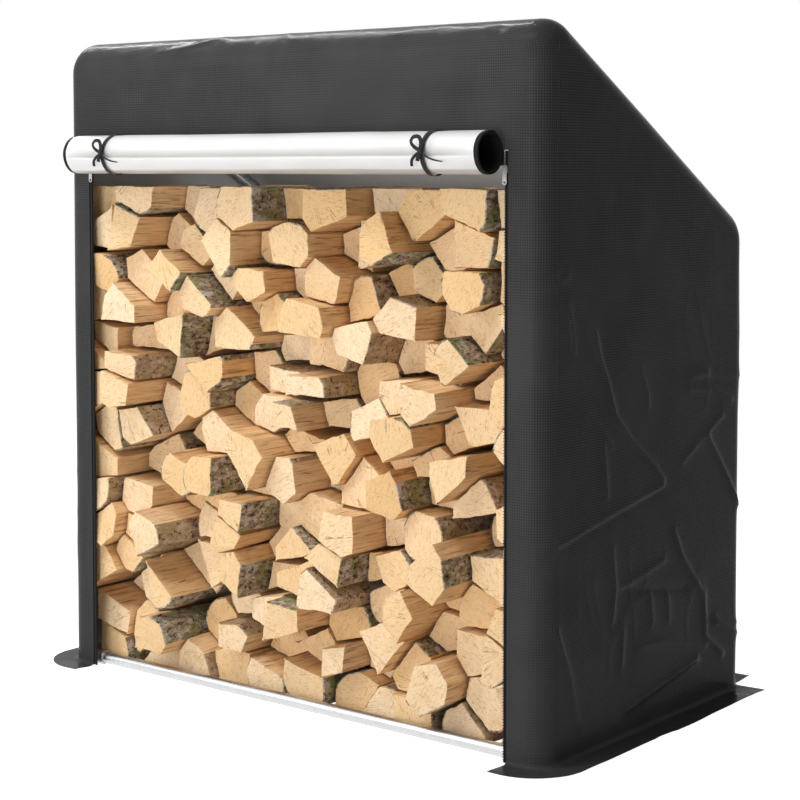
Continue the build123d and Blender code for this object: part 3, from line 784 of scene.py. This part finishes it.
def rolled_door():
    """The door as a spiral of sheet, its pale inside outwards, with zip tape along both of its ends"""
    band = roll_half - ROLL_BAND
    columns = np.concatenate([[-roll_half, -band - BAND_EDGE], np.linspace(-band, band, ROLL_COLUMNS),
                              [band + BAND_EDGE, roll_half]])
    one_turn = np.concatenate([np.arange(*span) for span in ROLL_DEGREES])
    turns = np.radians(np.concatenate([one_turn + 360 * turn for turn in range(ROLL_TURNS)]))
    x, angle = np.meshgrid(columns, turns)
    around = joined(x, np.cos(angle), np.sin(angle)).reshape(-1, 3)
    slack = sum(size * value_noise(around * waves, seed) for size, waves, seed in ROLL_SLACK).reshape(x.shape)
    tied = np.exp(-(((np.abs(x) - tie_x) / ROLL_PINCH_WIDTH) ** 2))
    tied *= smoothstep(*(2 * math.pi * turn for turn in ROLL_PINCH_TURNS), angle)
    waver = ROLL_FOLD_WAVER * flat_noise(x, 0 * x, 3.0, 1.0, 73)
    past = angle % (2 * math.pi) - (ROLL_FOLD_AT - ROLL_START) + waver
    sunk = np.clip(1 + past / ROLL_FOLD_RISE, 0, 1) ** 2 * smoothstep(ROLL_FOLD_LIP, 0.0, past)
    sunk *= smoothstep(0.0, ROLL_FOLD_END, roll_half - np.abs(x))
    lost = ROLL_PITCH * angle / (2 * math.pi)
    r = roll_radius - ROLL_OFF - lost + slack - ROLL_PINCH * tied - ROLL_FOLD * sunk
    points = joined(x, roll_y + r * np.cos(ROLL_START + angle), roll_z + r * np.sin(ROLL_START + angle))
    length = np.concatenate([[0], np.cumsum(np.abs(np.diff(turns)) * roll_radius)])
    quads = grid_quads(len(turns), len(columns))[:, ::-1]
    strip = np.arange(len(columns) - 1)
    # The end bands and the inner face take the extra-dark black, partly real tape and partly painted shade inside the
    # roll
    indices = np.tile(np.where((strip < 1) | (strip > len(columns) - 3), 2, 0), len(turns) - 1)
    uv = joined(x, length[:, None])
    piece = mesh_object("rolled_up_door", points, quads, [lining, roll_tape_and_shade_black, roll_tape_and_shade_black], uv, indices)
    # Painted shade: the lining darkens along the fold and over the underside, where less light falls
    shade_edges = (ROLL_UNDER_AT + edge for edge in ROLL_UNDER_EDGE)
    under = smoothstep(*shade_edges, ROLL_START + angle + ROLL_UNDER_SLANT * x)
    painted_shade = piece.data.attributes.new("painted_shade", "FLOAT", "POINT")
    painted_shade.data.foreach_set("value", np.maximum(FOLD_PAINTED_SHADE * sunk**0.5, UNDER_PAINTED_SHADE * under).ravel())
    thicken(piece, DOOR_SHEET, 1, 1)
    settle(piece, "door_lining", "rolled_door")


def door_hem():
    """The stretch of the door that shows between the header and the roll, and behind the roll's ends"""
    x, row = np.meshgrid(np.linspace(-roll_half, roll_half, HEM_COLUMNS), np.arange(len(HEM_PATH)))
    path = np.array(HEM_PATH)[row]
    wave = HEM_WAVE * flat_noise(x, row, 9.0, 0.7, 74)
    points = joined(x, front_y + path[..., 0] + wave, door_top + path[..., 1])
    piece = grid_object("door_hem", points, [cover, lining], joined(x, row * HEM_ROW), flip=True)
    thicken(piece, DOOR_SHEET, 1)
    settle(piece, "black_cover")


RIBBON_WIDTH = 0.011
RIBBON_OFF_ROLL = 0.0010
# The bow, seen from the front: right, up and out from the middle of the knot, in metres
BOW_LOOP = ((0.000, 0.000, 0.002), (-0.013, 0.009, 0.008), (-0.019, 0.020, 0.011), (-0.012, 0.030, 0.011),
            (0.002, 0.030, 0.010), (0.006, 0.018, 0.008), (0.001, 0.003, 0.004))
BOW_TAILS = (
    ((0.000, 0.000, 0.003), (-0.012, -0.011, 0.007), (-0.020, -0.021, 0.007), (-0.022, -0.033, 0.004)),
    ((0.000, -0.002, 0.002), (-0.003, -0.012, 0.006), (-0.006, -0.022, 0.005)),
    ((0.002, -0.002, 0.003), (0.020, -0.013, 0.006), (0.041, -0.020, 0.005), (0.060, -0.023, 0.003)),
)
BOW_WIDTH_SHARES = (0.8, 0.6, 0.8, 0.4)
BOW_TWISTS = ((0.1, 0.3), (0.1, 0.9), (0.1, 0.5), (0.5, 1.2))  # radians from lying flat to edge on, at both ends
KNOT_OUT, KNOT_UP = 0.0022, 0.004  # middle of the knot, from the front of the roll and from its axis
KNOT_TILTS = (-0.5, 0.6)
KNOT_SIZE = (0.0065, 0.0042, 0.004)  # half its width, depth and slant
KNOT_DEPTH = 0.0035  # of its middle, in front of the ribbon's
BAND_SWAY = (0.002, 0.001)
BAND_POINTS, TAIL_POINTS, KNOT_POINTS = 73, 30, 17
RIBBON_GRID = 0.003  # of its cloth's coordinates


def smooth_route(points, count):
    """Points along a smooth curve through the given ones"""
    padded = np.concatenate([[2 * points[0] - points[1]], points, [2 * points[-1] - points[-2]]])
    found = []
    for t in np.linspace(0, len(points) - 1 - 1e-9, count):
        i = int(t)
        f = t - i
        a, b, c, d = padded[i:i + 4]
        found.append(0.5 * (2 * b + (c - a) * f + (2 * a - 5 * b + 4 * c - d) * f**2 + (3 * b - a - 3 * c + d) * f**3))
    return np.array(found)


def ribbon_grid(route, across, width):
    """A flat ribbon along a route, with the direction across it given once or for each point"""
    across = across / np.linalg.norm(across, axis=-1, keepdims=True) + 0 * route
    return route[:, None, :] + across[:, None, :] * (np.linspace(-0.5, 0.5, 4)[None, :, None] * width)


def door_tie(x, name):
    """A ribbon round the roll with its half bow: a loop and loose tails"""
    turn = np.linspace(0, 2 * math.pi, BAND_POINTS)
    pinch = roll_radius + RIBBON_OFF_ROLL
    sway = BAND_SWAY[0] * np.sin(turn) + BAND_SWAY[1] * np.sin(2 * turn)
    band = joined(x + sway, roll_y + pinch * np.cos(turn), roll_z + pinch * np.sin(turn))
    grids = [ribbon_grid(band, np.array([1.0, 0.0, 0.0]), RIBBON_WIDTH)]
    knot = np.array([x, roll_low.y - KNOT_OUT, roll_z + KNOT_UP])
    out = np.array([0.0, 1.0, 0.0])
    for tail, (first, last), share in zip((BOW_LOOP, *BOW_TAILS), BOW_TWISTS, BOW_WIDTH_SHARES):
        right, up, forward = np.array(tail).T
        route = smooth_route(knot + joined(right, -forward, up), TAIL_POINTS)
        flat = np.cross(np.gradient(route, axis=0), out)
        flat /= np.linalg.norm(flat, axis=1)[:, None]
        twist = np.linspace(first, last, len(route))[:, None]
        grids.append(ribbon_grid(route, flat * np.cos(twist) + out * np.sin(twist), RIBBON_WIDTH * share))
    wrap = np.linspace(0, 2 * math.pi, KNOT_POINTS)
    wide, deep, slant = KNOT_SIZE
    for tilt in KNOT_TILTS:
        ring = joined(wide * np.cos(wrap), -KNOT_DEPTH - deep * np.sin(wrap), slant * tilt * np.cos(wrap))
        grids.append(ribbon_grid(knot + ring, np.array([tilt * 0.4, 0.0, 1.0]), RIBBON_WIDTH * 1.05))
    points, quads, uv, first = [], [], [], 0
    for grid in grids:
        rows, columns = grid.shape[:2]
        points.append(grid.reshape(-1, 3))
        quads.append(grid_quads(rows, columns, first))
        uv.append(RIBBON_GRID * joined(*np.meshgrid(np.arange(columns), np.arange(rows))).reshape(-1, 2))
        first += rows * columns
    points, quads, uv = map(np.concatenate, (points, quads, uv))
    piece = mesh_object(f"door_ribbon_{name}", points, quads, [ribbon_black], uv)
    thicken(piece, DOOR_SHEET)
    piece.modifiers["thickness"].offset = 0
    settle(piece, "tie_tape", "door_ties")


TOOTH_PITCH = 0.0032
TOOTH_SIZE = (0.0042, 0.0026, 0.0017)
TOOTH_STAGGER = 0.0011
COIL_INSET = 0.0022


BOX_SIDES = ((0, 1, 3, 2), (4, 6, 7, 5), (0, 4, 5, 1), (2, 3, 7, 6), (0, 2, 6, 4), (1, 5, 7, 3))


def zip_teeth(side, name):
    """Moulded teeth down a zip, as small boxes in one mesh; the tape and the sliders are the solids themselves"""
    low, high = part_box(f"{name}_zip_tape")
    coil_x = (low.x if side > 0 else high.x) + side * COIL_INSET
    heights = np.arange(low.z + TOOTH_PITCH, high.z, TOOTH_PITCH)
    stagger = np.where(np.arange(len(heights)) % 2 == 0, TOOTH_STAGGER, -TOOTH_STAGGER)
    centres = joined(coil_x + stagger, low.y, heights)
    corners = np.array(list(itertools.product((-0.5, 0.5), repeat=3))) * np.array(TOOTH_SIZE)
    quads = (np.arange(len(centres))[:, None, None] * len(corners) + np.array(BOX_SIDES)).reshape(-1, 4)
    piece = mesh_object(f"{name}_zip_teeth", centres[:, None, :] + corners, quads, [zip_black])
    piece.data.polygons.foreach_set("use_smooth", np.zeros(len(quads), bool))
    settle(piece, "zip_tape")


# Firewood


LOG_SAMPLE = 0.0055
LOG_STATIONS = (0.0012, 0.006, 0.014, 0.026, 0.042, 0.062, 0.086, 0.114, 0.146, 0.19, 0.25, 0.325)
END_RINGS = (0.985, 0.935, 0.72, 0.40)  # shares of the outline at which an end's face has a ring of points
CHAMFER = 0.0018
CHAMFER_SHARE = 0.3  # of a side, at most
LOWEST = 0.0006
LOG_SLIMMER = 0.0036  # how far a log's sides lie inside its solid, for the dark gaps
LOG_WAVE = 0.0032
LOG_DRIFT = 0.003
BARK_TORN, BARK_ROUGH = 0.0006, 0.0011
SPLIT_TORN, SPLIT_ROUGH = 0.0019, 0.0006
TORN_WAVES, LONG_WAVES, ROUGH_WAVES = (60, 9), (16, 7), (110, 45)  # a metre across and along the log
SAW_MARK = 0.0005
SAW_WAVES = 70
FACE_INSET, HUB_INSET, TIP_INSET = 0.0004, 0.0005, 0.002  # of an end's rings and of both ends' middles
HEART_REACH = (0.03, 0.09)  # of a heart that no bark side places
END_TILT = 0.13
SHARP_ANGLE = math.radians(38)

BARK_TURNS = (math.radians(2), math.radians(14))  # between two edges of a round bark side
BARK_EDGE = 0.024  # the longest one
FLAT_BARK_SHARE = 0.6
FLAT_BARK_SHORTEST = 0.022
FLAT_BARK_FACING = 0.4
END, SPLIT, BARK = 0, 1, 2  # kinds of faces


def log_outlines(node):
    """The logs of one row: each one's end outline in order round it, and where its ends are"""
    work = bmesh.new()
    work.from_mesh(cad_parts[node].data)
    bmesh.ops.remove_doubles(work, verts=work.verts, dist=1e-5)
    work.verts.ensure_lookup_table()
    seen = set()
    for first in work.verts:
        if first.index in seen:
            continue
        island, queue = [], [first]
        seen.add(first.index)
        while queue:
            vert = queue.pop()
            island.append(vert.co.copy())
            for edge in vert.link_edges:
                other = edge.other_vert(vert)
                if other.index not in seen:
                    seen.add(other.index)
                    queue.append(other)
        front = min(co.y for co in island)
        back = max(co.y for co in island)
        ends = np.array([(co.x, co.z) for co in island if co.y < front + 1e-4])
        middle = ends.mean(axis=0)
        order = np.argsort(np.arctan2(ends[:, 1] - middle[1], ends[:, 0] - middle[0]))
        yield ends[order], front, back
    work.free()


def bark_edges(outline):
    """Whether each edge of an outline lies on a round bark side, and whether each corner does"""
    runs = np.roll(outline, -1, axis=0) - outline
    headings = np.arctan2(runs[:, 1], runs[:, 0])
    turns = np.abs((headings - np.roll(headings, 1) + math.pi) % (2 * math.pi) - math.pi)
    gentle = (turns > BARK_TURNS[0]) & (turns < BARK_TURNS[1])
    short = np.linalg.norm(runs, axis=1) < BARK_EDGE
    on_arc = gentle & (short | np.roll(short, 1))
    return short & (on_arc | np.roll(on_arc, -1)), on_arc


def flat_bark(outline, bark, dice):
    """Gives some logs a flat side of bark as well, mostly one that is turned to the right or up"""
    wish = dice.uniform(-1.1, 1.7)
    wanted = dice.random() < FLAT_BARK_SHARE
    runs = np.roll(outline, -1, axis=0) - outline
    lengths = np.linalg.norm(runs, axis=1)
    turned = (runs[:, 1] * math.cos(wish) - runs[:, 0] * math.sin(wish)) / lengths
    turned[bark | (lengths < FLAT_BARK_SHORTEST)] = -1
    if wanted and turned.max() > FLAT_BARK_FACING:
        bark = bark.copy()
        bark[np.argmax(turned)] = True
    return bark


def circle_centre(points):
    """Middle of the circle through three points of an arc"""
    chords = points[1:] - points[0]
    return points[0] + np.linalg.solve(2 * chords, (chords**2).sum(axis=1))


def resampled(outline, bark):
    """The outline with its corners cut and its sides divided, and whether each new edge is bark"""
    points, kinds = [], []
    count = len(outline)
    for i in range(count):
        start, end = outline[i], outline[(i + 1) % count]
        length = math.dist(start, end)
        cut = min(CHAMFER, CHAMFER_SHARE * length)
        cut_start, cut_end = (0.0 if bark[i] and bark[j % count] else cut for j in (i - 1, i + 1))
        run = (end - start) / length
        usable = length - cut_start - cut_end
        parts = max(1, round(usable / LOG_SAMPLE))
        for k in range(parts if cut_end == 0.0 else parts + 1):
            points.append(start + run * (cut_start + usable * k / parts))
            kinds.append(bool(bark[i]))
    return np.array(points), np.array(kinds)


def log_mesh(outline, front, back, dice):
    """Points, faces, kinds of faces and heart coordinates of one log"""
    bark, on_arc = bark_edges(outline)
    bark = flat_bark(outline, bark, dice)
    ring, is_bark = resampled(outline, bark)
    count = len(ring)
    middle = ring.mean(axis=0)
    tangent = np.roll(ring, -1, axis=0) - np.roll(ring, 1, axis=0)
    normal = joined(tangent[:, 1], -tangent[:, 0])
    normal /= np.linalg.norm(normal, axis=1)[:, None]
    corners = outline[on_arc]
    if len(corners) >= 3:
        heart = circle_centre(corners[[0, len(corners) // 2, len(corners) - 1]])
    else:
        angle = dice.uniform(0, 2 * math.pi)
        heart = middle + dice.uniform(*HEART_REACH) * np.array([math.cos(angle), math.sin(angle)])
    seed = dice.randrange(1000)
    tilt = np.array([dice.uniform(-END_TILT, END_TILT), dice.uniform(-END_TILT, END_TILT)])
    offsets = (ring - middle) @ tilt
    recess = offsets - offsets.min()
    bark_point = is_bark | np.roll(is_bark, 1)

    def ring_noise(waves, depth, number):
        across, along = waves
        return value_noise(joined(ring[:, 0] * across, depth * along, ring[:, 1] * across), seed + number)

    def section(depth):
        """The outline at a depth behind the end, worn and torn"""
        torn = ring_noise(TORN_WAVES, front + depth, 0)
        rough = ring_noise(ROUGH_WAVES, depth, 2)
        push = np.where(bark_point, BARK_TORN * torn + BARK_ROUGH * rough, SPLIT_TORN * torn + SPLIT_ROUGH * rough)
        push = push + LOG_WAVE * ring_noise(LONG_WAVES, depth, 1) - LOG_SLIMMER
        drift = np.array([math.sin(seed), math.cos(seed)]) * LOG_DRIFT * depth / (back - front)
        placed = ring + normal * push[:, None] + drift
        placed[:, 1] = np.maximum(placed[:, 1], LOWEST)
        return placed

    levels = []
    for scale in END_RINGS:
        flat = middle + (section(0.0) - middle) * scale
        depth = recess * scale + recess.mean() * (1 - scale)
        saw = SAW_MARK * value_noise(joined(flat[:, 0] * SAW_WAVES, flat[:, 1] * SAW_WAVES, 0.5), seed + 3)
        levels.append(joined(flat[:, 0], front + depth + saw + FACE_INSET, flat[:, 1]))
    levels.append([[middle[0], front + recess.mean() + HUB_INSET, middle[1]]])
    for depth in LOG_STATIONS:
        flat = section(depth)
        remain = 1 - depth / (back - front)
        levels.append(joined(flat[:, 0], front + depth + recess * remain, flat[:, 1]))
    levels.append([[middle[0], back - TIP_INSET, middle[1]]])
    points = np.concatenate(levels)

    pairs = list(zip(np.arange(count), np.roll(np.arange(count), -1)))
    hub = len(END_RINGS) * count
    tip = len(points) - 1
    rings = [level * count for level in reversed(range(len(END_RINGS)))]
    rings += [hub + 1 + level * count for level in range(len(LOG_STATIONS))]
    faces = [(hub, b + rings[0], a + rings[0]) for a, b in pairs]
    faces += [(tip, a + rings[-1], b + rings[-1]) for a, b in pairs]
    kinds = [END] * len(faces)
    for near, far in zip(rings, rings[1:]):
        faces += [(a + near, b + near, b + far, a + far) for a, b in pairs]
        plain = SPLIT if far > hub else END
        kinds += [BARK if edge and (far == 0 or far > hub) else plain for edge in is_bark]
    return points, faces, kinds, points - np.array([heart[0], 0.0, heart[1]])


def firewood():
    dice = random.Random(7)
    for node in sorted(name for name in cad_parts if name.startswith("firewood_row")):
        points, faces, kinds, piths, tints, first = [], [], [], [], [], 0
        for outline, front, back in log_outlines(node):
            log_points, log_faces, log_kinds, pith = log_mesh(outline, front, back, dice)
            points.append(log_points)
            faces += [tuple(i + first for i in face) for face in log_faces]
            kinds += log_kinds
            piths.append(pith)
            tints.append(np.full(len(log_points), dice.betavariate(2.2, 1.8)))
            first += len(log_points)
        piece = mesh_object(node.replace("firewood", "split_logs"), np.concatenate(points), faces,
                            [log_end, log_split, log_bark], indices=kinds)
        heart = piece.data.attributes.new("pith", "FLOAT_VECTOR", "POINT")
        heart.data.foreach_set("vector", np.concatenate(piths).ravel())
        tint = piece.data.attributes.new("tint", "FLOAT", "POINT")
        tint.data.foreach_set("value", np.concatenate(tints))
        piece.data.set_sharp_from_angle(angle=SHARP_ANGLE)
        settle(piece, "split_wood", node)


def dress_solids():
    """Finishes of the solids that show as they are"""
    finishes = (
        (("_post", "_rail", "_rafter", "_beam", "_elbows", "_connectors"), galvanised),
        (("_zip_tape",), zip_black),
        (("zip_sliders",), zinc),
    )
    for endings, material in finishes:
        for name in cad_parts:
            if name.endswith(endings):
                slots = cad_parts[name].data.materials
                slots.clear()
                slots.append(material)


main_panel()
side_panel(1, "right", 41)
side_panel(-1, "left", 47)
front_strip(1, "right")
front_strip(-1, "left")
ground_flaps()
rolled_door()
door_hem()
for side, name in SIDES:
    door_tie(side * tie_x, name)
for side, name in SIDES:
    zip_teeth(side, name)
firewood()
dress_solids()


# Floor, light and camera


WHITE = (1.0, 1.0, 1.0)
AMBIENT = 0.035
FLOOR_GLOW = 0.95
FLOOR_SIZE = 14.0
FLOOR_LIT = (0.82, 0.82, 0.82)
FLOOR_SEEN = (0.45, 0.45, 0.45)


def white_to_the_eye(nodes, seen, lit):
    """Mixes two shaders: one for what the camera and reflections see, one for the light that falls"""
    rays = nodes.add("LightPath").outputs
    shown = rays["Is Camera Ray"]
    for name in ("Is Glossy Ray", "Is Transmission Ray"):
        shown = nodes.math("MAXIMUM", shown, rays[name])
    return nodes.add("MixShader", {0: shown, 1: lit, 2: seen}).outputs[0]


def studio():
    """White surroundings, and a pale floor that glows almost white and keeps the store's shadow"""
    nodes = Nodes(bpy.data.worlds.new("studio"))
    bpy.context.scene.world = nodes.owner
    nodes.tree.nodes.clear()
    seen = nodes.add("Background", {"Color": WHITE}).outputs[0]
    lit = nodes.add("Background", {"Color": WHITE, "Strength": AMBIENT}).outputs[0]
    nodes.add("OutputWorld", {0: white_to_the_eye(nodes, seen, lit)})

    nodes = material_nodes("pale_floor")
    nodes.tree.nodes.clear()
    lit = nodes.add("BsdfDiffuse", {"Color": FLOOR_LIT}).outputs[0]
    dim = nodes.add("BsdfDiffuse", {"Color": FLOOR_SEEN}).outputs[0]
    glow = nodes.add("Emission", {"Strength": FLOOR_GLOW}).outputs[0]
    seen = nodes.add("AddShader", {0: dim, 1: glow}).outputs[0]
    nodes.add("OutputMaterial", {0: white_to_the_eye(nodes, seen, lit)})
    half = FLOOR_SIZE / 2
    corners = [(-half, -half, 0.0), (half, -half, 0.0), (half, half, 0.0), (-half, half, 0.0)]
    mesh_object("floor", corners, [(0, 1, 2, 3)], [nodes.owner])


def place_object(name, data, place, turn):
    made = bpy.data.objects.new(name, data)
    made.location = place
    made.rotation_euler = turn
    bpy.context.scene.collection.objects.link(made)
    return made


# Each lamp's place, what it is aimed at, its width and height, and its power in watts
STORE_MIDDLE = (0.0, 0.0, 0.85)
LAMPS = {
    "key": ((-2.9, -4.3, 3.1), STORE_MIDDLE, (2.8, 3.0), 94.0),
    "front": ((0.9, -4.8, 0.9), STORE_MIDDLE, (2.0, 2.0), 84.0),
    "over": ((-0.4, -2.4, 4.8), (0.0, -0.4, 1.2), (3.0, 1.0), 122.0),
    "ridge_strip": ((-2.7, 1.0, 4.2), (-2.7, -0.4, 1.6), (3.4, 0.08), 185.0),
    "side_strip": ((4.1, 2.25, 1.3), (0.76, 0.05, 0.8), (0.10, 2.6), 23.0),
    "inside": ((0.10, -0.06, 1.36), (0.10, 0.4, 1.33), (1.1, 0.06), 1.95),
}


def lights():
    for name, (place, aim, size, power) in LAMPS.items():
        data = bpy.data.lights.new(name, "AREA")
        data.shape = "RECTANGLE"
        data.size, data.size_y = size
        data.energy = power
        place_object(name, data, place, (Vector(aim) - Vector(place)).to_track_quat("-Z", "Y").to_euler())


def camera():
    data = bpy.data.cameras.new("photo_camera")
    data.sensor_width = SENSOR
    data.lens = CAMERA_FOCAL / PHOTO_SIZE * SENSOR
    data.shift_y = CAMERA_SHIFT
    turn = (math.pi / 2 - CAMERA_TILT, 0.0, CAMERA_YAW)
    bpy.context.scene.camera = place_object("photo_camera", data, CAMERA_PLACE, turn)


studio()
lights()
camera()
bpy.context.scene.view_settings.view_transform = "Standard"
